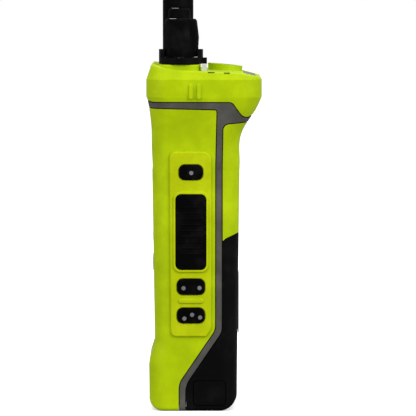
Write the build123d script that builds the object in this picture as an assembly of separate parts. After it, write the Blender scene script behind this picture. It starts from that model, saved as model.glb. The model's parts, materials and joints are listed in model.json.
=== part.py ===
from build123d import *
import math
import os

# A rugged hand-held two-way radio with a GPS receiver. Millimetres, +Z up. The display side faces -Y,
# the battery side +Y and the push-to-talk side +X. The origin is on the base, under the head's centre.

# Outer form
HEAD_HALF_DEPTH = 28.2
HEAD_HALF_WIDTH = 36.0
BODY_HALF_WIDTH = 31.0
HEAD_CREASE_Z = 162.4
TOP_LINE = [(-60, 180.5), (-16, 167.3), (18, 165.7), (60, 155.2)]  # a ramp, a gentle slope, a fall
TOP_BLENDS = (30, 12)
TOP_EDGE = 1.4
FRONT_BASE_ROUNDING = 6.2  # of the base corners in the side view
REAR_BASE_ROUNDING = 8.6
BASE_EDGE = 1.5
WALL = 2.2
BATTERY_WALL = 1.8

# Seams and the grey strip between the shells
SEAM = 0.5
BATTERY_SEAM = 0.4
STRIP_WIDTH = 3.7  # the strip with the seam on each side of it
STRIP_PATH = [
    (-40, 155.0), (-25.2, 150.1), (7.95, 149.3), (7.3, 120), (7.25, 39.4), (-10.6, 13.1), (-10.6, -10),
]
TONGUE = 0.3  # reach of the small tongues that close the seams under the base
LIP = 1.1  # reach of the hidden lips behind the seams
LIP_THICKNESS = 0.9
LIP_FOOT_Z = 138.3

# Side keys
KEY_CENTRE_Y = -6.4
KEY_GAP = 0.3
KEY_CORNER = 2.6
PANEL_TOP_Z = 127.4
PANEL_BOTTOM_Z = 36.7
PANEL_FACE_X = 32.2
PANEL_SEAT_X = 30.4
KEY_FACE_X = 33.0
PTT_SIZE = (14.6, 36.6)
PTT_Z = 88.1
PTT_TRAVEL = 1.2
PTT_RIBS = 9
PTT_RIB_PITCH = 2.85
PTT_RIB_RADIUS = 0.4
SIDE_KEYS = {"one": (117.2, 11.2, 7.0), "two": (61.2, 13.1, 7.4), "three": (47.1, 13.1, 7.1)}
DOTS = {
    "one": ("one_dot", [(0.2, -0.25)]),
    "two": ("two_dots", [(-3.6, -0.55), (4.2, -0.45)]),
    "three": ("three_dots", [(-3.2, -1.35), (0.6, 0.5), (4.5, -0.85)]),
}
DOT_RADIUS = 1.02
DOT_DEPTH = 0.6
SIDE_KEY_FACE_X = 32.9
FLANGE_X = (28.8, 29.9)
SWITCH_TOP_X = 26.6

# Controls on the top
CHANNEL_AT = (22.0, -11.25)
VOLUME_AT = (0.0, -12.2)
ANTENNA_AT = (-23.0, -13.1)
EMERGENCY_AT = (-4.0, 10.5)
PLATFORM_Z = 169.6
RING_RADIUS = 10.8
RING_Z = (169.9, 172.9)
BUSH_RADIUS = 4.5
SHAFT_RADIUS = 3.0
SHAFT_CLEARANCE = 0.05
ANTENNA_RADIUS = 7.7
ANTENNA_TOP_Z = 311.0
DISPLAY_HALF = 18.0

# Front keys: name, x, z, width, height
FRONT_KEYS = [
    ("soft_key_left", -15.0, 86.0, 11.5, 6.0),
    ("soft_key_middle", 0.0, 86.0, 11.5, 6.0),
    ("soft_key_right", 15.0, 86.0, 11.5, 6.0),
    ("nav_key", 0.0, 72.5, 17.0, 13.0),
    ("home_key", -16.5, 72.5, 9.5, 8.5),
    ("data_key", 16.5, 72.5, 9.5, 8.5),
]
BEZEL_FACE_Y = -24.2
BEZEL_BACK_Y = -21.9
BEZEL_Z = 97.5
BEZEL_SIZE = (47.4, 69.4)
DISPLAY_Z = 112.0
LENS_SIZE = (44.5, 34.5)
VIEW_SIZE = (41.0, 31.0)
SPEAKER_Z = 36.0
SPEAKER_RADIUS = 17.5
GRILLE_SLOTS = 7
GRILLE_PITCH = 6.0
MICROPHONE_AT = (12.0, 140.0)

# Battery block that reaches into the radio
TUB_HALF_WIDTH = 22.5
TUB_FRONT_Y = -3.0
TUB_BOTTOM_Z = 16.0
TUB_TOP_Z = 79.0
TUB_WALL = 1.5
POCKET_GAP = 0.5
POCKET_WALL = 1.4
LATCH_Y = (-5.1, 10.5)
LATCH_Z = (2.9, 14.7)
LATCH_GAP = 0.35

# Far side
ACCESSORY_Y = -4.0
ACCESSORY_Z = 98.0
COVER_SIZE = (17.0, 36.0)
COVER_SCREW_Z = 83.5

# Fixings and boards
BASE_SCREWS_X = (-18, 18)
BASE_SCREWS_Y = -17.0
CLIP_SCREWS_X = (-12, 12)
CLIP_SCREWS_Z = 112.0
BOARD_HALF_WIDTH = 24.4
BOARD_Y = (-13.6, -12.4)
BOARD_Z = (24.0, 142.0)
POST_Z = (94, 134)
CONTACTS_X = (-8, 0, 8)
CONTACTS_Z = (67.5, 72.5)
CHARGE_PADS_X = (-9, -3, 3, 9)


def save(name, shape):
    """Writes one node's STEP file."""
    export_step(shape, "parts/" + name + ".step")
    return shape


def box(x, y, z):
    """A block between the two numbers of each pair."""
    size = [pair[1] - pair[0] for pair in (x, y, z)]
    centre = [(pair[0] + pair[1]) / 2 for pair in (x, y, z)]
    return Pos(*centre) * Box(*size)


def rod_z(at, radius, low, high):
    """An upright cylinder."""
    return Pos(at[0], at[1], (low + high) / 2) * Cylinder(radius, high - low)


def rod_y(x, z, radius, near, far):
    """A cylinder along Y."""
    return Pos(x, (near + far) / 2, z) * Rot(90, 0, 0) * Cylinder(radius, abs(far - near))


def rod_x(y, z, radius, near, far):
    """A cylinder along X."""
    return Pos((near + far) / 2, y, z) * Rot(0, 90, 0) * Cylinder(radius, abs(far - near))


def side_plate(y, z, width, height, corner, low, high):
    """A rounded plate that faces +X."""
    outline = RectangleRounded(width, height, corner)
    return extrude(Plane.YZ.offset(low) * Pos(y, z) * outline, amount=high - low)


def front_plate(x, z, width, height, corner, front, back):
    """A rounded plate that faces -Y."""
    outline = RectangleRounded(width, height, corner)
    plane = Plane(origin=(0, back, 0), x_dir=(1, 0, 0), z_dir=(0, -1, 0))
    return extrude(plane * Pos(x, z) * outline, amount=back - front)


def offset_path(points, distance):
    """A polyline moved sideways, to the left of its direction, with mitred corners."""
    headings = [(Vector(*b) - Vector(*a)).normalized() for a, b in zip(points, points[1:])]
    moved = []
    for index, point in enumerate(points):
        before = headings[max(index - 1, 0)]
        after = headings[min(index, len(headings) - 1)]
        side = Vector(-(before.Y + after.Y), before.X + after.X).normalized()
        reach = distance / side.dot(Vector(-before.Y, before.X))
        moved.append((point[0] + side.X * reach, point[1] + side.Y * reach))
    return moved


def region(points, radii):
    """A closed flat outline in the side view, with rounded corners."""
    return make_face(FilletPolyline(*points, radius=radii, close=True))


def across(outline):
    """An outline of the side view carried through the whole width."""
    return extrude(Plane.YZ * outline, amount=60, both=True)


# Stations of the outer form: height, front, back, half width, corner radius
LOWER_STATIONS = [
    (0, -26.7, 16.1, BODY_HALF_WIDTH, 8),
    (12, -27.0, 16.2, BODY_HALF_WIDTH, 8),
    (22, -27.1, 16.3, BODY_HALF_WIDTH, 8),
    (24.5, -26.8, 16.3, BODY_HALF_WIDTH, 8),
    (27.5, -25.85, 16.35, BODY_HALF_WIDTH, 8),
    (31, -24.7, 16.4, BODY_HALF_WIDTH, 8),
    (34, -24.2, 16.4, BODY_HALF_WIDTH, 8),
    (118, -25.4, 17.4, BODY_HALF_WIDTH, 8),
]
FLARE_STATIONS = [
    (118, -25.4, 17.4, BODY_HALF_WIDTH, 8),
    (126, -25.5, 17.4, 31.1, 8),
    (133, -25.6, 17.6, 31.6, 8),
    (138, -25.7, 19.2, 32.5, 8.4),
    (143, -26.1, 22.2, 33.6, 8.9),
    (148.5, -26.8, 25.7, 34.9, 9.4),
    (154, -HEAD_HALF_DEPTH, HEAD_HALF_DEPTH, HEAD_HALF_WIDTH, 10),
]
HEAD_STATIONS = [
    (154, -HEAD_HALF_DEPTH, HEAD_HALF_DEPTH, HEAD_HALF_WIDTH, 10),
    (HEAD_CREASE_Z, -HEAD_HALF_DEPTH, HEAD_HALF_DEPTH, HEAD_HALF_WIDTH, 10),
    (173, 3.6 - HEAD_HALF_DEPTH, HEAD_HALF_DEPTH - 4.2, HEAD_HALF_WIDTH - 4.2, 5.8),
]


def station(z, front, back, half_width, corner, inset):
    """One cross section of the outer form, drawn in by the inset."""
    outline = RectangleRounded(2 * (half_width - inset), back - front - 2 * inset, corner - inset)
    return Pos(0, (front + back) / 2, z) * outline


def below_top(drop):
    """Everything under the top, lowered by the drop."""
    line = [(y, z - drop) for y, z in TOP_LINE]
    outline = [(-60, -20), *line, (60, -20)]
    return across(region(outline, [0, 0, *TOP_BLENDS, 0, 0]))


def outer_form(inset):
    """The whole casing as one solid, drawn in by the inset all round."""
    lower_stations = [(max(s[0], inset),) + s[1:] for s in LOWER_STATIONS]
    lower = loft([station(*s, inset) for s in lower_stations], ruled=True)
    front, back = LOWER_STATIONS[0][1] + inset - 0.02, LOWER_STATIONS[0][2] - inset + 0.02
    roundings = [FRONT_BASE_ROUNDING - inset, REAR_BASE_ROUNDING - inset, 0, 0]
    outline = [(front, inset), (back, inset), (back + 2, 130), (front - 2, 130)]
    lower &= across(region(outline, roundings))
    flare = loft([station(*s, inset) for s in FLARE_STATIONS])
    head = loft([station(*s, inset) for s in HEAD_STATIONS], ruled=True) & below_top(inset)
    if inset == 0:
        sides = lower.edges().filter_by(lambda edge: edge.center().Z < 9 and abs(edge.center().X) > 24)
        lower = fillet(sides, BASE_EDGE)
        top_faces = head.faces().filter_by(lambda face: face.normal_at().Z > 0.8)
        seams = [sum(edge in face.edges() for face in top_faces) for edge in top_faces.edges()]
        rim = [edge for edge, uses in zip(top_faces.edges(), seams) if uses == 1]
        head = fillet(rim, TOP_EDGE)
    return lower + flare + head


# Regions of the side view that belong to each shell
front_edge = offset_path(STRIP_PATH, -STRIP_WIDTH / 2)
rear_edge = offset_path(STRIP_PATH, STRIP_WIDTH / 2)
front_region = region(front_edge + [(-40, -10)], [0, 3, 0.8, 0, 7, 9.5, 0, 0])
rear_corner = [(40, 142.9), (9.5, 140.4)]
rear_region = region(rear_corner + rear_edge[3:] + [(40, -10)], [0, 2.8, 0, 8, 12, 0, 0])
head_corners = [
    (-40, 156.6), (-25.2, 151.7), (13.7, 151.65), (20.0, 142.9), (40, 156.6), (40, 190), (-40, 190),
]
head_region = region(head_corners, [0, 3, 3, 3.6, 0, 0, 0])
side_view = make_face(Polyline((-40, -10), (40, -10), (40, 190), (-40, 190), close=True))
strip_region = side_view
for neighbour in (front_region, rear_region, head_region):
    strip_region = strip_region - offset(neighbour, SEAM)
above_frame_corners = [(-40, LIP_FOOT_Z), (40, LIP_FOOT_Z), (40, 190), (-40, 190)]
above_frame = make_face(Polyline(*above_frame_corners, close=True))
below_lip = side_view - offset(above_frame, 0.3)

BATTERY_TOP = [(4, 79.0), (11.0, 84.9), (15.6, 86.8), (40, 97)]


def battery_edge(lift):
    """Everything in the side view under the battery's top edge, moved up by the lift."""
    edge = offset_path(BATTERY_TOP, lift)
    return region(edge + [(40, -20), (-40, -20), (-40, 70)], [0, 6, 2, 0, 0, 0, 0])


battery_region = rear_region & battery_edge(-BATTERY_SEAM / 2)
cover_region = rear_region - battery_edge(BATTERY_SEAM / 2)
panel_corners = [
    (-17.0, PANEL_TOP_Z),
    (3.65, PANEL_TOP_Z),
    (3.65, PANEL_BOTTOM_Z),
    (-16.3, PANEL_BOTTOM_Z),
]
panel_region = region(panel_corners, [3.2, 4.3, 0.3, 2.8]) & offset(front_region, -1.75)

os.makedirs("parts", exist_ok=True)
casing = outer_form(0)
shell = casing - outer_form(WALL)
key_openings = {name: (z, width, height) for name, (z, width, height) in SIDE_KEYS.items()}
key_openings["ptt"] = (PTT_Z, *PTT_SIZE)

# Front housing: the display side, both flanks and the chin
front_housing = shell & across(front_region)
front_housing -= front_plate(0, BEZEL_Z, BEZEL_SIZE[0] + 0.6, BEZEL_SIZE[1] + 0.6, 4, -30, -20)
for row in range(GRILLE_SLOTS):
    slot_z = SPEAKER_Z - 18.5 + GRILLE_PITCH * row
    front_housing -= front_plate(0, slot_z, 30, 2.4, 1.15, -32, -18)
front_housing -= extrude(Plane.YZ.offset(PANEL_SEAT_X) * panel_region, amount=5)
for z, width, height in key_openings.values():
    front_housing -= side_plate(KEY_CENTRE_Y, z, width + 2.6, height + 2.6, 2.6, 26, 34)
front_housing -= box(
    (-35, -26), (ACCESSORY_Y - 5.7, ACCESSORY_Y + 5.7), (ACCESSORY_Z - 10.2, ACCESSORY_Z + 14.2)
)
front_housing -= rod_x(ACCESSORY_Y, COVER_SCREW_Z, 1.45, -35, -26)
front_housing -= rod_y(*MICROPHONE_AT, 0.8, -30, -20)
for x in BASE_SCREWS_X:
    front_housing -= rod_z((x, BASE_SCREWS_Y), 2.8, -1, 1.2) + rod_z((x, BASE_SCREWS_Y), 1.3, -1, 4)
save("front_housing", front_housing)

# Grey strip between the shells
lip_form = outer_form(WALL + 0.1) - outer_form(WALL + 0.1 + LIP_THICKNESS)
trim_band = shell & across(strip_region)
trim_band += (casing - outer_form(WALL + 0.1 + LIP_THICKNESS)) & across(strip_region & above_frame)
trim_band += lip_form & across(offset(strip_region, LIP) & above_frame)
strip_tongue = casing & across(offset(strip_region, TONGUE)) & box((29.0, 30.4), (-20, 0), (-1, 2.3))
trim_band += strip_tongue
trim_band += mirror(strip_tongue, Plane.YZ)
save("trim_band", trim_band)

# Upper rear cover with two bosses for the clip's threaded inserts
rear_cover = shell & across(cover_region)
for x in CLIP_SCREWS_X:
    rear_cover += rod_y(x, CLIP_SCREWS_Z, 4.2, 10.8, 15.5)
    rear_cover -= rod_y(x, CLIP_SCREWS_Z, 2.4, 9, 20)
save("rear_cover", rear_cover)
insert = rod_y(0, CLIP_SCREWS_Z, 2.4, 11.2, 17.0) - rod_y(0, CLIP_SCREWS_Z, 1.6, 10, 20)
save("clip_inserts", Compound(children=[Pos(x, 0, 0) * insert for x in CLIP_SCREWS_X]))

# Top shell: level platform for the knobs, round guard for the emergency button, window for the display
head_cap = shell & across(head_region)
platform = extrude(Pos(0, -11.85, 166.3) * RectangleRounded(63, 20.3, 5), amount=PLATFORM_Z - 166.3)
head_cap += fillet(platform.faces().sort_by(Axis.Z)[-1].edges(), 0.6)
guard_top = make_face(Polyline((-20, 160), (40, 160), (40, 166.1), (-20, 171.9), close=True))
head_cap += rod_z(EMERGENCY_AT, 8.5, 165.2, 172) & across(guard_top)
head_cap -= rod_z(EMERGENCY_AT, 5.8, 160, 175)
for at in (CHANNEL_AT, VOLUME_AT):
    head_cap -= rod_z(at, 4.6, 160, 175)
head_cap -= rod_z(ANTENNA_AT, 5.2, 160, 175)
window_half = DISPLAY_HALF + 0.15
head_cap -= box((-window_half, window_half), (19.45, 25.35), (150, 175)) - below_top(1.0)
head_cap -= box((1.5 - DISPLAY_HALF, DISPLAY_HALF - 1.5), (20.6, 24.2), (150, 175))
bar_slope = make_face(Polyline((34, 151), (37.3, 151), (36.6, 162), (34, 162), close=True))
for y in (-6.35, -2.5):
    bar = side_plate(y, 156.6, 1.9, 7.3, 0.93, 35.0, 38.0)
    bar &= extrude(Plane.XZ * bar_slope, amount=20, both=True)
    bar = fillet(bar.faces().sort_by(Axis.X)[-1].edges(), 0.3)
    head_cap += bar
    head_cap += mirror(bar, Plane.YZ)
head_cap -= side_plate(11.1, 165.5, 2.9, 0.8, 0.35, 33.2, 40)
head_cap -= side_plate(3.5, 165.85, 3.3, 0.6, 0.25, 33.0, 40)
save("head_cap", head_cap)

# Raised frame round the side keys
panel = extrude(Plane.YZ.offset(PANEL_SEAT_X) * panel_region, amount=PANEL_FACE_X - PANEL_SEAT_X)
side_key_bezel = fillet(panel.faces().sort_by(Axis.X)[-1].edges(), 0.75)
rim = side_plate(KEY_CENTRE_Y, PTT_Z, PTT_SIZE[0] + 2.8, PTT_SIZE[1] + 3.0, 3.6, 31, KEY_FACE_X)
side_key_bezel += fillet(rim.faces().sort_by(Axis.X)[-1].edges(), 0.6)
bar = side_plate(KEY_CENTRE_Y, 54.3, 12.2, 2.4, 1.15, 32, 32.9)
side_key_bezel += fillet(bar.faces().sort_by(Axis.X)[-1].edges(), 0.6)
for z, width, height in key_openings.values():
    outline = RectangleRounded(width + 2 * KEY_GAP, height + 2 * KEY_GAP, KEY_CORNER + KEY_GAP)
    plane = Plane.YZ.offset(30) * Pos(KEY_CENTRE_Y, z)
    side_key_bezel -= extrude(plane * outline, amount=4)
for z, width, height in SIDE_KEYS.values():
    outline = RectangleRounded(width + 2 * KEY_GAP, height + 2 * KEY_GAP, KEY_CORNER + KEY_GAP)
    plane = Plane.YZ.offset(PANEL_FACE_X - 0.45) * Pos(KEY_CENTRE_Y, z)
    side_key_bezel -= extrude(plane * outline, amount=0.6, taper=-40)
save("side_key_bezel", side_key_bezel)


def side_key(z, width, height, face, travel):
    """A side key: cap, flange behind the frame and a stem that stops short of its switch."""
    cap = side_plate(KEY_CENTRE_Y, z, width, height, KEY_CORNER, FLANGE_X[1], face)
    cap = fillet(cap.faces().sort_by(Axis.X)[-1].edges(), 0.5)
    flange = side_plate(KEY_CENTRE_Y, z, width + 1.6, height + 1.6, KEY_CORNER + 0.6, *FLANGE_X)
    stem_x = (SWITCH_TOP_X + travel + 0.12, FLANGE_X[0])
    stem = box(stem_x, (KEY_CENTRE_Y - 2, KEY_CENTRE_Y + 2), (z - 2, z + 2))
    return cap + flange + stem


ptt_button = side_key(PTT_Z, *PTT_SIZE, KEY_FACE_X, PTT_TRAVEL)
for rib in range(PTT_RIBS):
    z = PTT_Z + 0.7 + PTT_RIB_PITCH * (rib - (PTT_RIBS - 1) / 2)
    rib_y = (KEY_CENTRE_Y - 5.1, KEY_CENTRE_Y + 4.9)
    ptt_button += rod_y(KEY_FACE_X - 0.1, z, PTT_RIB_RADIUS, *rib_y)
save("ptt_button", ptt_button)

for name, (z, width, height) in SIDE_KEYS.items():
    dots_name, places = DOTS[name]
    dots = [
        rod_x(KEY_CENTRE_Y + y, z + up, DOT_RADIUS, SIDE_KEY_FACE_X - DOT_DEPTH, SIDE_KEY_FACE_X + 0.1)
        for y, up in places
    ]
    button = side_key(z, width, height, SIDE_KEY_FACE_X, 0.6)
    for dot in dots:
        button -= dot
    save("side_button_" + name, button)
    save(dots_name, Compound(children=dots))

switch_board_x = (25.0, 25.8)
save("side_switch_board", box(switch_board_x, (-12, -1), (40, 124)))
switches = [
    box((switch_board_x[1], SWITCH_TOP_X), (KEY_CENTRE_Y - 2, KEY_CENTRE_Y + 2), (z - 2, z + 2))
    for z, width, height in key_openings.values()
]
save("side_switches", Compound(children=switches))

# Front: bezel, display and keys
display_bezel = front_plate(0, BEZEL_Z, *BEZEL_SIZE, 3.7, BEZEL_FACE_Y, BEZEL_BACK_Y)
bezel_flange = (BEZEL_SIZE[0] + 2.6, BEZEL_SIZE[1] + 2.6)
display_bezel += front_plate(0, BEZEL_Z, *bezel_flange, 4.5, BEZEL_BACK_Y, -21.3)
display_bezel -= front_plate(0, DISPLAY_Z, LENS_SIZE[0] + 0.3, LENS_SIZE[1] + 0.3, 2.1, -26, -23.2)
display_bezel -= front_plate(0, DISPLAY_Z, *VIEW_SIZE, 1.5, -26, -20)
for key, x, z, width, height in FRONT_KEYS:
    display_bezel -= front_plate(x, z, width + 0.6, height + 0.6, 2.2, -26, -20)
save("display_bezel", display_bezel)
save("display_lens", front_plate(0, DISPLAY_Z, *LENS_SIZE, 2, BEZEL_FACE_Y, -23.2))
save("display_module", front_plate(0, DISPLAY_Z, 46, 36, 1, -21.2, -18.6))
for key, x, z, width, height in FRONT_KEYS:
    cap = front_plate(x, z, width, height, 1.9, -25.0, -21.2)
    cap = fillet(cap.faces().sort_by(Axis.Y)[0].edges(), 0.5)
    save(key, cap + front_plate(x, z, width + 1.6, height + 1.6, 2.4, -21.2, -20.6))
save("key_board", front_plate(0, 77, 50, 28, 2, -19.4, -18.4))
domes = [rod_y(x, z, 2, -19.95, -19.4) for key, x, z, width, height in FRONT_KEYS]
save("key_domes", Compound(children=domes))

# Sound
save("speaker_mesh", front_plate(0, SPEAKER_Z - 0.5, 34, 39.5, 3, -21.95, -21.65))
speaker = rod_y(0, SPEAKER_Z, SPEAKER_RADIUS, -21.5, -18.5) + rod_y(0, SPEAKER_Z, 9, -18.5, -14.6)
save("speaker", speaker)
save("microphone", rod_y(*MICROPHONE_AT, 2.5, -23.1, -20.8))

# Radio boards
save("main_board", box((-BOARD_HALF_WIDTH, BOARD_HALF_WIDTH), BOARD_Y, BOARD_Z))
can_rows = [(36, 22), (64, 26), (118, 26)]
can_y = (BOARD_Y[1], BOARD_Y[1] + 3)
cans = [box((-14, 14), can_y, (z - height / 2, z + height / 2)) for z, height in can_rows]
save("shield_cans", Compound(children=cans))
save("gps_patch_antenna", box((8, 28), (-1.5, 18), (157, 161.5)))

# Metal frame: a wall along the strip, the pocket for the battery, board posts and screw feet
chassis = outer_form(WALL + 0.15) & across(offset(strip_region, LIP) & below_lip)
pocket_half = TUB_HALF_WIDTH + POCKET_GAP
pocket_front = TUB_FRONT_Y - POCKET_GAP
pocket_z = (TUB_BOTTOM_Z - POCKET_GAP, TUB_TOP_Z + POCKET_GAP)
pocket_space = box((-pocket_half, pocket_half), (pocket_front, 12), pocket_z)
pocket_walls = box(
    (-pocket_half - POCKET_WALL, pocket_half + POCKET_WALL),
    (pocket_front - POCKET_WALL, 8.5),
    (pocket_z[0] - POCKET_WALL, pocket_z[1] + POCKET_WALL),
)
chassis += pocket_walls
for x in BASE_SCREWS_X:
    for z in POST_Z:
        chassis += rod_y(x, z, 2.2, BOARD_Y[1] + 0.05, 7.0)
    chassis += box((x - 4, x + 4), (-19.8, -11.8), (2.5, 5.5)) - rod_z((x, BASE_SCREWS_Y), 1.22, 0, 8)
chassis -= pocket_space
chassis -= across(offset(rear_region & battery_edge(1.0), 0.15))
for x in CONTACTS_X:
    chassis -= box((x - 1.7, x + 1.7), (-8, 0), (CONTACTS_Z[0] - 0.2, CONTACTS_Z[1] + 0.2))
save("chassis", chassis)
contacts = [box((x - 1.5, x + 1.5), (-7.0, -3.2), CONTACTS_Z) for x in CONTACTS_X]
save("battery_contacts", Compound(children=contacts))
screw = rod_z((0, BASE_SCREWS_Y), 2.6, 0.15, 1.15) + rod_z((0, BASE_SCREWS_Y), 1.2, 1.15, 6.0)
screw -= Pos(0, BASE_SCREWS_Y, 0.15) * extrude(RegularPolygon(1.3, 6), amount=0.7)
save("housing_screws", Compound(children=[Pos(x, 0, 0) * screw for x in BASE_SCREWS_X]))

# Battery: case, inner lid with the cell tub, cells, board and terminals
battery_inside = outer_form(BATTERY_WALL)
battery_cavity = battery_inside & across(rear_region & battery_edge(-BATTERY_SEAM / 2 - BATTERY_WALL))
battery_case = (casing & across(battery_region)) - battery_cavity
latch_centre = ((LATCH_Y[0] + LATCH_Y[1]) / 2, (LATCH_Z[0] + LATCH_Z[1]) / 2)
latch_size = (LATCH_Y[1] - LATCH_Y[0], LATCH_Z[1] - LATCH_Z[0])
hole_size = (latch_size[0] + 2 * LATCH_GAP, latch_size[1] + 2 * LATCH_GAP)
pocket_size = (hole_size[0] + 2, hole_size[1] + 2)
latch_pocket = side_plate(*latch_centre, *pocket_size, 3.1, 25.0, 30.0)
latch_pocket &= outer_form(BATTERY_WALL - 0.4) & across(offset(rear_region, -1.75))
latch_hole = side_plate(*latch_centre, *hole_size, 2.1, 26.0, 34)
battery_case += latch_pocket
battery_case += mirror(latch_pocket, Plane.YZ)
battery_case -= latch_hole
battery_case -= mirror(latch_hole, Plane.YZ)
tongue_box = box((27.2, 28.6), (-14, 0), (-1, BATTERY_WALL - 0.05))
battery_tongue = casing & across(offset(battery_region, TONGUE)) & tongue_box
battery_case += battery_tongue
battery_case += mirror(battery_tongue, Plane.YZ)
charge_pads = [box((x - 1.6, x + 1.6), (15.2, 16.4), (12, 17)) & casing for x in CHARGE_PADS_X]
for pad in charge_pads:
    battery_case -= pad
save("battery_case", battery_case)

latch = side_plate(*latch_centre, *latch_size, 1.8, 27.7, 34) & casing
save("battery_latch_right", latch)
save("battery_latch_left", mirror(latch, Plane.YZ))

deep_region = offset(rear_region, -1.6)
lid_region = (rear_region - deep_region) & battery_edge(-BATTERY_SEAM / 2 - BATTERY_WALL - 0.1)
battery_lid = outer_form(BATTERY_WALL + 0.1) & across(lid_region)
tub = box((-TUB_HALF_WIDTH, TUB_HALF_WIDTH), (TUB_FRONT_Y, 10), (TUB_BOTTOM_Z, TUB_TOP_Z))
battery_lid += tub - across(deep_region)
battery_lid -= box(
    (-TUB_HALF_WIDTH + TUB_WALL, TUB_HALF_WIDTH - TUB_WALL),
    (TUB_FRONT_Y + TUB_WALL, 20),
    (TUB_BOTTOM_Z + TUB_WALL, TUB_TOP_Z - TUB_WALL),
)
terminal_z = (CONTACTS_Z[0] - 0.5, CONTACTS_Z[1] + 0.5)
terminals = [box((x - 2, x + 2), (TUB_FRONT_Y, TUB_FRONT_Y + 0.8), terminal_z) for x in CONTACTS_X]
for terminal in terminals:
    battery_lid -= terminal
save("battery_lid", battery_lid)
save("battery_terminals", Compound(children=terminals + charge_pads))
cells = [box((x - 10.1, x + 10.1), (-1.2, 12), (18, 77)) for x in (-10.5, 10.5)]
save("battery_cells", Compound(children=cells))
save("battery_board", box((-15, 15), (-4, 11), (8, 9.2)))

# Top controls
def rotary_switch(at, bush_top):
    """A rotary switch body hung under the top shell, with its threaded bush, bored for the shaft."""
    body = box((at[0] - 6.5, at[0] + 6.5), (at[1] - 6.5, at[1] + 6.5), (155.5, 164.3))
    body += rod_z(at, BUSH_RADIUS, 164.3, bush_top)
    return body - rod_z(at, SHAFT_RADIUS + SHAFT_CLEARANCE, 150, 180)


def knob(at, profile, flutes, flute_radius, flute_foot, bore_top):
    """A turned knob with finger flutes round its upper part and a blind bore for its shaft."""
    turned = revolve(Plane.XZ * make_face(Polyline(*profile, close=True)), axis=Axis.Z)
    low, high = profile[0][1], profile[-1][1]
    reach = max(point[0] for point in profile)
    for index in range(flutes):
        angle = 2 * math.pi * index / flutes
        away = reach + 0.62 * flute_radius
        flute_at = (away * math.cos(angle), away * math.sin(angle))
        turned -= rod_z(flute_at, flute_radius, flute_foot, high + 5)
    turned -= rod_z((0, 0), SHAFT_RADIUS, low - 1, bore_top)
    return Pos(at[0], at[1], 0) * turned


save("channel_switch", rotary_switch(CHANNEL_AT, 172.7))
save("volume_switch", rotary_switch(VOLUME_AT, 170.0))
save("channel_shaft", rod_z(CHANNEL_AT, SHAFT_RADIUS, 156.5, 186.0))
save("volume_shaft", rod_z(VOLUME_AT, SHAFT_RADIUS, 156.5, 188.0))
channel_profile = [
    (0, 173.3), (8.35, 173.3), (8.5, 177.2), (8.8, 182.8), (7.9, 190.8), (7.2, 191.8), (0, 191.8),
]
save("channel_knob", knob(CHANNEL_AT, channel_profile, 9, 2.6, 183.2, 186.0))
volume_profile = [
    (0, 170.4), (6.7, 170.4), (6.5, 185), (5.75, 191.8), (5.2, 196.0), (4.5, 196.7), (0, 196.7),
]
save("volume_knob", knob(VOLUME_AT, volume_profile, 8, 2.2, 186.5, 188.0))

ring_ears = rod_z(CHANNEL_AT, RING_RADIUS, RING_Z[1] - 0.5, 177.0) - rod_z(CHANNEL_AT, 9.2, 170, 180)
ring_ears &= box((CHANNEL_AT[0] - 4.5, CHANNEL_AT[0] + 4.5), (-30, 10), (170, 180))
mode_ring = rod_z(CHANNEL_AT, RING_RADIUS, *RING_Z) + ring_ears
mode_ring += box((CHANNEL_AT[0] - 2.4, CHANNEL_AT[0] + 2.4), (-3, 1.45), RING_Z)
mode_ring -= rod_z(CHANNEL_AT, BUSH_RADIUS + SHAFT_CLEARANCE, 169, 180)
save("mode_ring", mode_ring)

save("index_tab", box((25.5, 30.9), (-1.15, 1.4), (165, 169.75)) - below_top(0))

emergency_button = rod_z(EMERGENCY_AT, 5.4, 162.2, 168.3)
emergency_button = fillet(emergency_button.faces().sort_by(Axis.Z)[-1].edges(), 1.0)
save("emergency_button", emergency_button + rod_z(EMERGENCY_AT, 7.0, 161.2, 162.3))
lens_box = box((-DISPLAY_HALF, DISPLAY_HALF), (19.6, 25.2), (150, 175))
save("top_display_lens", (lens_box & below_top(-0.05)) - below_top(1.0))
save("top_display_module", box((-15, 15), (19.6, 25.2), (156.5, 159.8)))

# Antenna
antenna_profile = [
    (0, 176.0), (ANTENNA_RADIUS, 176.0), (ANTENNA_RADIUS, 230), (5.9, ANTENNA_TOP_Z - 4),
    (4.6, ANTENNA_TOP_Z - 1), (2.4, ANTENNA_TOP_Z), (0, ANTENNA_TOP_Z),
]
sheath = revolve(Plane.XZ * make_face(Polyline(*antenna_profile, close=True)), axis=Axis.Z)
save("antenna_sheath", Pos(*ANTENNA_AT, 0) * sheath)
save("antenna_collar", rod_z(ANTENNA_AT, 7.9, 170.0, 175.9) - rod_z(ANTENNA_AT, 5.05, 160, 180))
nut = extrude(Pos(*ANTENNA_AT, 162.0) * RegularPolygon(7.5, 6), amount=2.6)
save("antenna_connector", rod_z(ANTENNA_AT, 5.0, 160.5, 175.9) + nut)

# Far side: accessory connector under a screwed cover
cover = mirror(side_plate(ACCESSORY_Y, ACCESSORY_Z, *COVER_SIZE, 3, 31.0, 33.4), Plane.YZ)
cover = fillet(cover.faces().sort_by(Axis.X)[0].edges(), 0.9)
save("accessory_cover", cover - rod_x(ACCESSORY_Y, COVER_SCREW_Z, 1.5, -40, -26))
connector_z = (ACCESSORY_Z - 10, ACCESSORY_Z + 14)
save("accessory_connector", box((-30.4, -25.0), (ACCESSORY_Y - 5.5, ACCESSORY_Y + 5.5), connector_z))
pins = [
    rod_x(ACCESSORY_Y + y, ACCESSORY_Z + 2 + 4 * row, 0.9, -30.8, -30.4)
    for y in (-2.5, 2.5)
    for row in range(-2, 3)
]
save("accessory_pins", Compound(children=pins))
cover_screw = rod_x(ACCESSORY_Y, COVER_SCREW_Z, 3.2, -35.2, -33.4)
cover_screw += rod_x(ACCESSORY_Y, COVER_SCREW_Z, 1.4, -33.4, -27.5)
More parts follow.
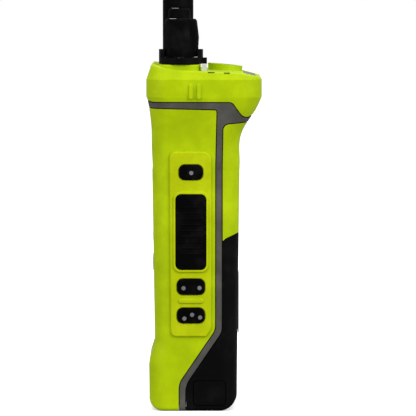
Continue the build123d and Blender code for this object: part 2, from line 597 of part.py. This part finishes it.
driver_slot = (ACCESSORY_Y - 0.5, ACCESSORY_Y + 0.5)
cover_screw -= box((-36, -34.5), driver_slot, (COVER_SCREW_Z - 4, COVER_SCREW_Z + 4))
save("accessory_screw", cover_screw)
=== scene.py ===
import json
import math

import bmesh
import bpy
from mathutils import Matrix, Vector


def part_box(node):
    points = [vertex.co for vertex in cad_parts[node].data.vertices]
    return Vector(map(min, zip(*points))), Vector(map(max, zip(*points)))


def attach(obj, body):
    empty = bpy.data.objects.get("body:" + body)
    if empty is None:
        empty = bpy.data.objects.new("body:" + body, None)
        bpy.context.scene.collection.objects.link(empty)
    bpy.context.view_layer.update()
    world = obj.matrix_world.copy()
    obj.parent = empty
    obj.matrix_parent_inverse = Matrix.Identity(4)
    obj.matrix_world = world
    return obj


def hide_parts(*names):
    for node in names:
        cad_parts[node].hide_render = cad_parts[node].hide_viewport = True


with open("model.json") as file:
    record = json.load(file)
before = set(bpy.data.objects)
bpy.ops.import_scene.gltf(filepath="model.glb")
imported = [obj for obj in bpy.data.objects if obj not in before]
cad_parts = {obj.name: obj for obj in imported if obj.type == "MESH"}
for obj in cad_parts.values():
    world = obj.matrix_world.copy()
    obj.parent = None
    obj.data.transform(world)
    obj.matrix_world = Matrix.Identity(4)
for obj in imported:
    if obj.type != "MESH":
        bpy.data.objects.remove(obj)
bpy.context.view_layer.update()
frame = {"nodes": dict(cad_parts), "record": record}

MM = 0.001
BODY_OF = {node: body for body, members in frame["record"]["behaviour"]["bodies"].items() for node in members}


# ---------------------------------------------------------------- camera, floor and light

CAMERA_DISTANCE = 1.5
CAMERA_ELEVATION = math.radians(4.2)
PICTURE_WIDTH = 0.2025  # what the picture spans at the near flank
SENSOR_WIDTH = 36.0
NEAREST_SEEN = 0.05
AIM = Vector((0.034, 0.00195, 0.1))  # the middle of the picture, on the near flank

WORLD_SEEN = 1.0  # the surround's strength where the camera looks straight at it
WORLD_LIGHT = 0.45  # its strength as light on the object

FLOOR_HALF = 6.0
FLOOR_GAP = 0.2 * MM  # keeps the floor's face clear of the base
FLOOR_SEEN = 0.9  # the paper's colour and glow where the camera looks straight at it
FLOOR_SEEN_GLOW = 0.45
FLOOR_BOUNCE = 0.3  # its colour as light thrown back on the object

LIGHTS_AIM = Vector((0, 0, 0.1))  # about the middle of the casing
SOFT_BOXES = (
    # name, place, side, power in watts
    ("fill_soft_box", (1.2, -1.3, 0.7), 1.1, 9),
    ("key_soft_box", (1.1, 1.3, 0.9), 1.1, 17),
    ("back_soft_box", (-0.9, 0.0, 1.5), 0.9, 8),
)


def placed(name, data):
    """A new object of that data, in the scene."""
    made = bpy.data.objects.new(name, data)
    bpy.context.scene.collection.objects.link(made)
    return made


def point_along(thing, direction):
    """Turns a camera or light so that it looks along a direction, with its top up."""
    thing.rotation_mode = "QUATERNION"
    thing.rotation_quaternion = direction.to_track_quat("-Z", "Y")


def make_camera():
    """Square on to the push-to-talk flank, from a little above."""
    data = bpy.data.cameras.new("camera")
    data.sensor_width = SENSOR_WIDTH
    data.lens = SENSOR_WIDTH * CAMERA_DISTANCE / PICTURE_WIDTH
    data.clip_start = NEAREST_SEEN
    camera = placed("camera", data)
    back = Vector((math.cos(CAMERA_ELEVATION), 0, math.sin(CAMERA_ELEVATION)))
    camera.location = AIM + back * CAMERA_DISTANCE
    point_along(camera, -back)
    bpy.context.scene.camera = camera


def seen_and_lit(tree, seen, lit):
    """A socket that is the first value where the camera looks straight at it and the second as light."""
    path = tree.nodes.new("ShaderNodeLightPath")
    mix = tree.nodes.new("ShaderNodeMix")
    factor, when_lit, when_seen = mix.inputs[0], mix.inputs[2], mix.inputs[3]
    when_lit.default_value = lit
    when_seen.default_value = seen
    tree.links.new(path.outputs["Is Camera Ray"], factor)
    return mix.outputs[0]


def make_world():
    """An even pale surround that lights the object only softly."""
    world = bpy.data.worlds.new("studio")
    bpy.context.scene.world = world
    world.use_nodes = True
    background = world.node_tree.nodes["Background"]
    background.inputs["Color"].default_value = (1.0, 1.0, 1.0, 1.0)
    strength = seen_and_lit(world.node_tree, WORLD_SEEN, WORLD_LIGHT)
    world.node_tree.links.new(strength, background.inputs["Strength"])


def floor_paper():
    """Matt paper that the camera sees as white, and that throws back only part of its light."""
    material = bpy.data.materials.new("floor_paper")
    material.use_nodes = True
    tree = material.node_tree
    shader = tree.nodes["Principled BSDF"]
    shader.inputs["Roughness"].default_value = 1.0
    shader.inputs["Specular IOR Level"].default_value = 0.0
    tree.links.new(seen_and_lit(tree, FLOOR_SEEN, FLOOR_BOUNCE), shader.inputs["Base Color"])
    shader.inputs["Emission Color"].default_value = (1.0, 1.0, 1.0, 1.0)
    tree.links.new(seen_and_lit(tree, FLOOR_SEEN_GLOW, 0.0), shader.inputs["Emission Strength"])
    return material


def make_floor():
    """A large pale floor, evenly lit."""
    mesh = bpy.data.meshes.new("floor")
    corners = [(x * FLOOR_HALF, y * FLOOR_HALF, 0) for x, y in ((-1, -1), (1, -1), (1, 1), (-1, 1))]
    mesh.from_pydata(corners, [], [(0, 1, 2, 3)])
    floor = placed("floor", mesh)
    floor.location.z = -FLOOR_GAP
    mesh.materials.append(floor_paper())


def make_sun(strength, spread, lean):
    """A wide soft light from overhead, leaning towards the camera's side; both angles are in degrees."""
    data = bpy.data.lights.new("overhead", "SUN")
    data.energy = strength
    data.angle = math.radians(spread)
    light = placed("overhead", data)
    light.rotation_euler = (0, math.radians(lean), 0)


def make_soft_box(name, place, side, power):
    """A square soft box that points at the object."""
    data = bpy.data.lights.new(name, "AREA")
    data.shape = "SQUARE"
    data.size = side
    data.energy = power
    light = placed(name, data)
    light.location = place
    point_along(light, LIGHTS_AIM - Vector(place))


make_camera()
make_world()
make_floor()
make_sun(strength=1.35, spread=60, lean=16)
for soft_box in SOFT_BOXES:
    make_soft_box(*soft_box)
bpy.context.scene.view_settings.view_transform = "Standard"


# ---------------------------------------------------------------- materials

MOTTLE_SIZE = 12 * MM  # patches of slightly different colour
HANDLING_SIZE = 20 * MM  # patches that are more or less polished
HANDLING_SPREAD = (-0.07, 0.09)  # what they take from the roughness and add to it
EDGE_BREAK_SIZE = 2.5 * MM  # breaks in the edges' wear and painted highlight
# how far edges are rounded in the shading; the same band is painted paler, as wear and as a painted highlight
PLASTIC_EDGE_RADIUS = 0.25 * MM
GRAIN_STRENGTH = 0.6

TOOL_LINE_SIZE = 0.6 * MM
TOOL_LINE_DEPTH = 0.02 * MM
TOOL_LINE_STRENGTH = 0.4
TOOL_LINE_SPREAD = (-0.1, 0.12)
TARNISH_SIZE = 6 * MM
METAL_EDGE = 0.1 * MM

NOISE_RANGE = (0.25, 0.75)  # where nearly all of a noise's values lie
EDGE_AGREEMENT = (0.98, 0.75)  # how well face and rounded normal agree: off an edge, and on one
EDGE_SAMPLES = 4


def srgb(code):
    """A colour written as six hexadecimal digits, as the linear numbers a shader takes."""
    parts = [int(code[i:i + 2], 16) / 255 for i in (0, 2, 4)]
    linear = [c / 12.92 if c <= 0.04045 else ((c + 0.055) / 1.055) ** 2.4 for c in parts]
    return (*linear, 1.0)


class Nodes:
    """Short hands for building one material's node tree."""

    def __init__(self, name):
        self.material = bpy.data.materials.new(name)
        self.material.use_nodes = True
        self.tree = self.material.node_tree
        self.shader = self.tree.nodes["Principled BSDF"]
        self.coordinates = self.tree.nodes.new("ShaderNodeTexCoord").outputs["Object"]

    def link(self, source, target):
        """Joins two sockets."""
        self.tree.links.new(source, target)

    def node(self, kind, **settings):
        """A new node of that kind with those settings."""
        made = self.tree.nodes.new(kind)
        for key, value in settings.items():
            setattr(made, key, value)
        return made

    def noise(self, size, detail, roughness, stretch=None):
        """Noise whose blobs are about size metres across; stretch scales its axes."""
        made = self.node("ShaderNodeTexNoise")
        made.inputs["Scale"].default_value = 1.0 / size
        made.inputs["Detail"].default_value = detail
        made.inputs["Roughness"].default_value = roughness
        source = self.coordinates
        if stretch:
            mapping = self.node("ShaderNodeMapping")
            mapping.inputs["Scale"].default_value = stretch
            self.link(self.coordinates, mapping.inputs["Vector"])
            source = mapping.outputs["Vector"]
        self.link(source, made.inputs["Vector"])
        return made.outputs["Fac"]

    def ramp(self, source, stops):
        """A colour ramp: stops are (position, colour)."""
        made = self.node("ShaderNodeValToRGB")
        elements = made.color_ramp.elements
        while len(elements) < len(stops):
            elements.new(0.5)
        for element, (position, colour) in zip(elements, stops):
            element.position = position
            element.color = colour
        self.link(source, made.inputs["Fac"])
        return made.outputs["Color"]

    def map_range(self, source, start, end, low=0.0, high=1.0):
        """The socket's value as it goes from start to end, stretched to low..high."""
        made = self.node("ShaderNodeMapRange")
        made.inputs["From Min"].default_value = start
        made.inputs["From Max"].default_value = end
        made.inputs["To Min"].default_value = low
        made.inputs["To Max"].default_value = high
        self.link(source, made.inputs["Value"])
        return made.outputs["Result"]

    def spread(self, source, low, high):
        """Noise, which keeps near a half, stretched to low..high."""
        return self.map_range(source, *NOISE_RANGE, low, high)

    def vary(self, source, middle, change):
        """Noise stretched about a middle value by a change down and a change up."""
        down, up = change
        return self.spread(source, middle + down, middle + up)

    def multiply(self, a, b):
        """The product of two sockets."""
        made = self.node("ShaderNodeMath", operation="MULTIPLY")
        self.link(a, made.inputs[0])
        self.link(b, made.inputs[1])
        return made.outputs[0]

    def mix(self, factor, under, over):
        """A colour socket with a plain colour laid over it, as much as the factor socket says."""
        made = self.node("ShaderNodeMix", data_type="RGBA")
        self.link(factor, made.inputs[0])
        self.link(under, made.inputs[6])
        made.inputs[7].default_value = over
        return made.outputs[2]

    def soft_edge(self, radius):
        """The surface normal rounded at edges, and a mask that is 1 on them."""
        bevel = self.node("ShaderNodeBevel", samples=EDGE_SAMPLES)
        bevel.inputs["Radius"].default_value = radius
        geometry = self.node("ShaderNodeNewGeometry")
        dot = self.node("ShaderNodeVectorMath", operation="DOT_PRODUCT")
        self.link(bevel.outputs["Normal"], dot.inputs[0])
        self.link(geometry.outputs["Normal"], dot.inputs[1])
        return bevel.outputs["Normal"], self.map_range(dot.outputs["Value"], *EDGE_AGREEMENT)

    def bump(self, height, strength, distance, normal):
        """A bump of that height map on top of another normal."""
        made = self.node("ShaderNodeBump")
        made.inputs["Strength"].default_value = strength
        made.inputs["Distance"].default_value = distance
        self.link(height, made.inputs["Height"])
        self.link(normal, made.inputs["Normal"])
        return made.outputs["Normal"]


def moulded(name, colours, rough, grain=0.35 * MM, grain_depth=0.02 * MM, edge_wear_and_highlight=0.25, gloss=0.25):
    """Moulded plastic: faint mottling, a fine spark-eroded grain, polished edges painted paler, partly as
    wear and partly as a painted highlight.

    The colours are the usual one, a lighter and a darker one. The grain's size and depth are in metres,
    the edge weight says how much paler the edges are painted, as wear and as a painted highlight, and gloss
    is the shader's specular level.
    """
    usual, lighter, darker = (srgb(colour) for colour in colours)
    n = Nodes(name)
    mottle = n.noise(MOTTLE_SIZE, detail=4.0, roughness=0.6)
    mottled = n.ramp(mottle, [(0.3, darker), (0.5, usual), (0.72, lighter)])
    normal, edges = n.soft_edge(PLASTIC_EDGE_RADIUS)
    edge_breaks = n.noise(EDGE_BREAK_SIZE, detail=5.0, roughness=0.7)
    # paler edges: partly wear, partly a painted highlight where the rims would catch the light
    wear_and_highlight = n.multiply(edges, n.spread(edge_breaks, 0.0, 2.0 * edge_wear_and_highlight))
    n.link(n.mix(wear_and_highlight, mottled, lighter), n.shader.inputs["Base Color"])
    handled = n.noise(HANDLING_SIZE, detail=3.0, roughness=0.6)
    n.link(n.vary(handled, rough, HANDLING_SPREAD), n.shader.inputs["Roughness"])
    fine = n.noise(grain, detail=2.0, roughness=0.5)
    n.link(n.bump(fine, GRAIN_STRENGTH, grain_depth, normal), n.shader.inputs["Normal"])
    n.shader.inputs["Specular IOR Level"].default_value = gloss
    return n.material


def metal(name, colours, rough, brushed=(1, 1, 1)):
    """Metal of two colours with fine tool lines and a little tarnish; brushed scales the lines' axes."""
    usual, lighter = (srgb(colour) for colour in colours)
    n = Nodes(name)
    lines = n.noise(TOOL_LINE_SIZE, detail=3.0, roughness=0.6, stretch=brushed)
    tarnish = n.noise(TARNISH_SIZE, detail=4.0, roughness=0.6)
    n.link(n.ramp(tarnish, [(0.3, usual), (0.7, lighter)]), n.shader.inputs["Base Color"])
    n.link(n.vary(lines, rough, TOOL_LINE_SPREAD), n.shader.inputs["Roughness"])
    normal, _ = n.soft_edge(METAL_EDGE)
    n.link(n.bump(lines, TOOL_LINE_STRENGTH, TOOL_LINE_DEPTH, normal), n.shader.inputs["Normal"])
    n.shader.inputs["Metallic"].default_value = 1.0
    return n.material


# the edge weights paint edges paler, partly as wear and partly as a painted highlight
PLASTICS = {
    "lime_shell": dict(colours=("b2cc00", "bfd805", "a9c300"), rough=0.44, edge_wear_and_highlight=0.2, gloss=0.1),
    "lime_panel": dict(colours=("bbcb02", "c8d80e", "b2c200"), rough=0.44, gloss=0.1),
    "grey_strip": dict(colours=("55534f", "64615c", "4a4845"), rough=0.62, grain=0.5 * MM, gloss=0.12),
    "black_shell": dict(colours=("060607", "121213", "040405"), rough=0.5, edge_wear_and_highlight=0.3, gloss=0.06),
    "black_rubber": dict(
        colours=("040304", "151415", "020202"), rough=0.62,
        grain=0.6 * MM, grain_depth=0.03 * MM, edge_wear_and_highlight=0.5, gloss=0.04,
    ),
    "key_dots": dict(colours=("757473", "898887", "666564"), rough=0.5),
    "white_mark": dict(colours=("cdd1c2", "dcdfd4", "bfc4b0"), rough=0.45),
    "alert_orange": dict(colours=("e8641a", "f5843a", "d1540f"), rough=0.45),
    "display_glass": dict(colours=("0c0d0f", "16181b", "08090a"), rough=0.16, grain_depth=0.002 * MM),
    "display_panel": dict(colours=("23282a", "30383a", "1b1f20"), rough=0.35),
    "blank_label": dict(colours=("17181a", "232527", "101112"), rough=0.3, gloss=0.2),
    "circuit_board": dict(colours=("1d5c34", "2c7a48", "154426"), rough=0.4),
    "ceramic": dict(colours=("c3b79c", "d6ccb4", "ab9f84"), rough=0.7),
    "speaker_cone": dict(colours=("1a1a1b", "29292a", "121213"), rough=0.8),
    "cell_wrap": dict(colours=("2f6a94", "4480ab", "235478"), rough=0.35),
}
METALS = {
    "steel_fixing": dict(colours=("7c7d80", "9a9b9e"), rough=0.35, brushed=(1, 1, 6)),
    "tinned_steel": dict(colours=("b4b5b7", "cfd0d2"), rough=0.32, brushed=(6, 1, 1)),
    "cast_metal": dict(colours=("5a5b5e", "77787b"), rough=0.6),
    "gold_contact": dict(colours=("cfa24a", "e6c06c"), rough=0.25),
    "brass_insert": dict(colours=("b08d48", "c9a763"), rough=0.3),
}
MATERIALS = {name: moulded(name, **look) for name, look in PLASTICS.items()}
MATERIALS.update({name: metal(name, **look) for name, look in METALS.items()})


# ---------------------------------------------------------------- the CAD nodes

OWN_LOOKS = {"side_key_bezel": "lime_panel"}  # nodes that don't look like the rest of their slot
WELD_DISTANCE = 0.002 * MM
CRISP_ANGLE = math.radians(28)  # a sharper edge than this stays crisp
HEAD_CREASE_Z = 162.4 * MM  # where the head's flank turns in towards its top
CREASE_TOLERANCE = 0.02 * MM


def sharpen_crease(mesh, height):
    """Marks the edges that run level at that height as sharp, so that the crease reads as a line."""
    levels = [vertex.co.z for vertex in mesh.vertices]
    for edge in mesh.edges:
        if all(abs(levels[index] - height) < CREASE_TOLERANCE for index in edge.vertices):
            edge.use_edge_sharp = True


def finish_cad_nodes():
    """Every CAD node gets its slot's material and smooth shading on its curved faces."""
    slots = {row["node"]: row["material_slot"] for row in frame["record"]["subparts"]}
    for name, node in frame["nodes"].items():
        node.data.materials.clear()
        node.data.materials.append(MATERIALS[OWN_LOOKS.get(name, slots[name])])
        node.data.shade_smooth()
        weld = node.modifiers.new("weld", "WELD")
        weld.merge_threshold = WELD_DISTANCE
        crisp = node.modifiers.new("crisp_edges", "EDGE_SPLIT")
        crisp.split_angle = CRISP_ANGLE
        even = node.modifiers.new("even_faces", "WEIGHTED_NORMAL")
        even.keep_sharp = True
    sharpen_crease(frame["nodes"]["head_cap"].data, HEAD_CREASE_Z)


finish_cad_nodes()


# ---------------------------------------------------------------- small raised marks and the label

MARK_HEIGHT = 0.12 * MM
MARK_BEVEL = 0.06 * MM
MARK_SHARP_ANGLE = math.radians(40)
LABEL_HEIGHT = 0.2 * MM
LABEL_SINK = 0.12 * MM  # how deep its middle lies in the battery's back
LABEL_Z = 52 * MM

# Outlines are in millimetres, about the middle of what is raised. A rounded one is its width,
# its height and the radius of its corners.
CORNER_STEPS = 5
SOFT_KEYS = ("soft_key_left", "soft_key_middle", "soft_key_right")
SOFT_KEY_BAR = (4.6, 0.8, 0.35)
ARROW = [(-1.5, -0.8), (1.5, -0.8), (0.0, 1.0)]
ARROW_REACHES = (4.3, 6.2, 4.3, 6.2)  # from the key's middle: up, left, down, right
ARROWS_DOT = (2.2, 2.2, 1.0)
HOUSE = [(-1.5, -1.6), (1.5, -1.6), (1.5, 0.3), (2.1, 0.3), (0.0, 1.9), (-2.1, 0.3), (-1.5, 0.3)]
DATA_LINE = (4.4, 0.7, 0.3)
DATA_LINE_PITCH = 1.5
POINTER = (0.9, 3.4, 0.4)
POINTER_REACHES = {"channel_knob": 4.0, "volume_knob": 2.2}  # from the knob's axis towards the display
LABEL = (36.0, 30.0, 2.5)


def rounded_outline(width, height, radius):
    """Corner-rounded rectangle about the origin, as (x, y) points."""
    points = []
    corners = ((1, 1), (-1, 1), (-1, -1), (1, -1))
    for quarter, (side_x, side_y) in enumerate(corners):
        centre_x = side_x * (width / 2 - radius)
        centre_y = side_y * (height / 2 - radius)
        for step in range(CORNER_STEPS + 1):
            angle = math.radians(90.0 * (quarter + step / CORNER_STEPS))
            points.append((centre_x + radius * math.cos(angle), centre_y + radius * math.sin(angle)))
    return points


def lifted(outline, distance):
    """An outline moved up in its plane."""
    return [(x, y + distance) for x, y in outline]


def turned(outline, quarter_turns):
    """An outline turned about the origin by quarter turns."""
    for _ in range(quarter_turns):
        outline = [(-y, x) for x, y in outline]
    return outline


def middle_of(node):
    """The middle of a CAD node's box."""
    low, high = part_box(node)
    return (low + high) / 2


def mesh_piece(name, work, look, node):
    """A bmesh as a piece in the scene that moves with a CAD node, with its look's material."""
    bmesh.ops.recalc_face_normals(work, faces=work.faces)
    mesh = bpy.data.meshes.new(name)
    work.to_mesh(mesh)
    work.free()
    mesh.materials.append(MATERIALS[look])
    piece = placed(name, mesh)
    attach(piece, BODY_OF[node])
    return piece


def raised(name, outlines, node, place, across, up, look, height=MARK_HEIGHT):
    """Flat outlines raised by a height from a place on a CAD node, with a small bevel, as one piece.

    They reach as far under the place as over it, so that the piece is sunk in the surface.
    """
    across, up = Vector(across), Vector(up)
    outward = across.cross(up)
    work = bmesh.new()
    for outline in outlines:
        foot = [place + (across * x + up * y) * MM - outward * height for x, y in outline]
        face = work.faces.new([work.verts.new(point) for point in foot])
        extruded = bmesh.ops.extrude_face_region(work, geom=[face])["geom"]
        top = [item for item in extruded if isinstance(item, bmesh.types.BMVert)]
        bmesh.ops.translate(work, verts=top, vec=outward * (2 * height))
    piece = mesh_piece(name, work, look, node)
    piece.data.shade_smooth()
    piece.data.set_sharp_from_angle(angle=MARK_SHARP_ANGLE)
    edge = piece.modifiers.new("edge", "BEVEL")
    edge.width = MARK_BEVEL
    edge.segments = 2
    edge.limit_method = "ANGLE"


def front_mark(key, outlines):
    """A mark on the face of a front key."""
    place = middle_of(key)
    place.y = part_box(key)[0].y
    raised(key + "_mark", outlines, key, place, (1, 0, 0), (0, 0, 1), "key_dots")


def front_marks():
    """Plain marks on the front keys: bars, arrows round a dot, a house and three lines."""
    for key in SOFT_KEYS:
        front_mark(key, [rounded_outline(*SOFT_KEY_BAR)])
    arrows = [turned(lifted(ARROW, reach), turn) for turn, reach in enumerate(ARROW_REACHES)]
    front_mark("nav_key", arrows + [rounded_outline(*ARROWS_DOT)])
    front_mark("home_key", [HOUSE])
    line = rounded_outline(*DATA_LINE)
    front_mark("data_key", [lifted(line, step * DATA_LINE_PITCH) for step in (-1, 0, 1)])


def knob_marks():
    """A pointer line across each knob's top towards the display side."""
    for knob, reach in POINTER_REACHES.items():
        place = middle_of(knob) - Vector((0, reach * MM, 0))
        place.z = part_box(knob)[1].z
        outlines = [rounded_outline(*POINTER)]
        raised(knob + "_mark", outlines, knob, place, (1, 0, 0), (0, 1, 0), "white_mark")


def battery_label():
    """A blank rating label on the back of the battery."""
    place = middle_of("battery_case")
    place.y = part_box("battery_case")[1].y - LABEL_SINK
    place.z = LABEL_Z
    outlines = [rounded_outline(*LABEL)]
    raised(
        "battery_label", outlines, "battery_case", place, (-1, 0, 0), (0, 0, 1),
        "blank_label", height=LABEL_HEIGHT,
    )


front_marks()
knob_marks()
battery_label()


# ---------------------------------------------------------------- the loudspeaker's woven dust mesh

MESH_PITCH = 1.1 * MM
WIRE = 0.14 * MM
BOB = 0.45 * WIRE  # how far a wire swings to each side of the sheet's middle
MESH_OUTWARD = Vector((0, -1, 0))


def weave_wire(work, start, along, length, phase):
    """Adds one wire, a square section that bobs over and under at each crossing."""
    side = along.cross(MESH_OUTWARD)
    corners = [offset * (WIRE / 2) for offset in (side, MESH_OUTWARD, -side, -MESH_OUTWARD)]
    steps = 2 * max(1, round(length / MESH_PITCH))
    rings = []
    for step in range(steps + 1):
        travel = length * step / steps
        bob = math.cos(math.pi * (travel / MESH_PITCH + phase)) * BOB
        centre = start + along * travel + MESH_OUTWARD * bob
        rings.append([work.verts.new(centre + corner) for corner in corners])
    for near, far in zip(rings, rings[1:]):
        for index in range(4):
            work.faces.new((near[index], near[index - 1], far[index - 1], far[index]))
    work.faces.new(rings[0])
    work.faces.new(reversed(rings[-1]))


def woven_mesh():
    """The dust mesh behind the loudspeaker's slots, woven from fine wires, in place of its plain sheet."""
    low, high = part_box("speaker_mesh")
    middle = (low.y + high.y) / 2
    width, height = high.x - low.x, high.z - low.z
    work = bmesh.new()
    for index in range(1, int(width / MESH_PITCH)):
        start = Vector((low.x + index * MESH_PITCH, middle, low.z))
        weave_wire(work, start, Vector((0, 0, 1)), height, index)
    for index in range(1, int(height / MESH_PITCH)):
        start = Vector((low.x, middle, low.z + index * MESH_PITCH))
        weave_wire(work, start, Vector((1, 0, 0)), width, index + 1)
    piece = mesh_piece("woven_mesh", work, "steel_fixing", "speaker_mesh")
    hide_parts("speaker_mesh")


woven_mesh()
